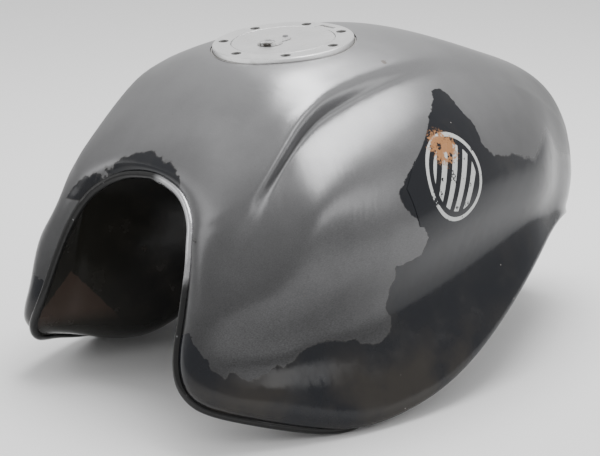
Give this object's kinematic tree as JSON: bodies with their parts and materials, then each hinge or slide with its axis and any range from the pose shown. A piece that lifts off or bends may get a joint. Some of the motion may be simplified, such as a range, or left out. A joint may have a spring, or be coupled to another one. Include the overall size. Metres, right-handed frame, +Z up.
{
  "type": "motorcycle fuel tank",
  "caption": "Pressed steel motorcycle fuel tank with arched tunnel, flush hinged locking filler cap, fuel tap and rubber mounts.",
  "frame": {"origin": "middle of the tank at the level of its lowest edge", "axes": "+X to the front of the motorcycle, +Y to its left, +Z up"},
  "size_m": [0.5568, 0.3736, 0.3034],
  "materials": {
    "silver": "brushed satin",
    "black": "gloss",
    "bare_steel": "satin",
    "alloy": "brushed",
    "cast_alloy": "satin",
    "plated": "satin",
    "brass": "satin",
    "rubber": "matte",
    "sticker": "worn"
  },
  "bodies": {
    "tank": {"outer_shell": "silver", "bottom_pan": "black", "rim_hem": "black", "mount_cup_left": "black", "mount_cup_right": "black", "rear_bracket": "black", "filler_neck": "bare_steel", "filler_throat": "bare_steel", "weld_nuts": "bare_steel", "drain_tube": "bare_steel", "breather_tube": "bare_steel", "baffle": "bare_steel", "tap_plate": "bare_steel", "filler_ring": "alloy", "tap_body": "cast_alloy", "ring_screws": "plated", "hinge_pin": "plated", "rear_collar": "plated", "tap_screws": "plated", "tap_strainer": "brass", "ring_gasket": "rubber", "mount_rubber_left": "rubber", "mount_rubber_right": "rubber", "rear_bush": "rubber", "tap_gasket": "rubber", "emblem_left": "sticker", "emblem_right": "sticker"},
    "lid": {"cap_lid": "alloy", "lock_housing": "cast_alloy", "under_plate": "plated", "plate_screws": "plated", "lid_seal": "rubber", "key_cover_pin": "plated"},
    "cover": {"key_cover": "alloy"},
    "lock": {"lock_cylinder": "brass"},
    "latch": {"latch_yoke": "plated", "latch_bolt_left": "plated", "latch_bolt_right": "plated"},
    "lever": {"tap_lever": "plated"}
  },
  "joints": [
    {"name": "lid_hinge", "type": "hinge", "parent": "tank", "child": "lid", "pos_m": [0.02205, 0, 0.30045], "axis": [0, -1, 0], "range_deg": [0, 95]},
    {"name": "key_cover_swivel", "type": "hinge", "parent": "lid", "child": "cover", "pos_m": [0.07001, 0, 0.29779], "axis": [0.0958, 0, 0.9954], "range_deg": [0, 100]},
    {"name": "lock_turn", "type": "hinge", "parent": "lid", "child": "lock", "pos_m": [0.08793, 0, 0.29606], "axis": [0.0958, 0, 0.9954], "range_deg": [0, 90]},
    {"name": "latch_slide", "type": "slide", "parent": "lid", "child": "latch", "axis": [0.9954, 0, -0.0958], "range_m": [0, 0.006]},
    {"name": "tap_lever_turn", "type": "hinge", "parent": "tank", "child": "lever", "pos_m": [-0.02849, 0.08335, 0.05862], "axis": [0, 0.981, -0.1941], "range_deg": [-90, 90]}
  ],
  "couplings": [
    {"joint": "latch_slide", "follows": "lock_turn", "m_per_rad": 0.003819}
  ]
}
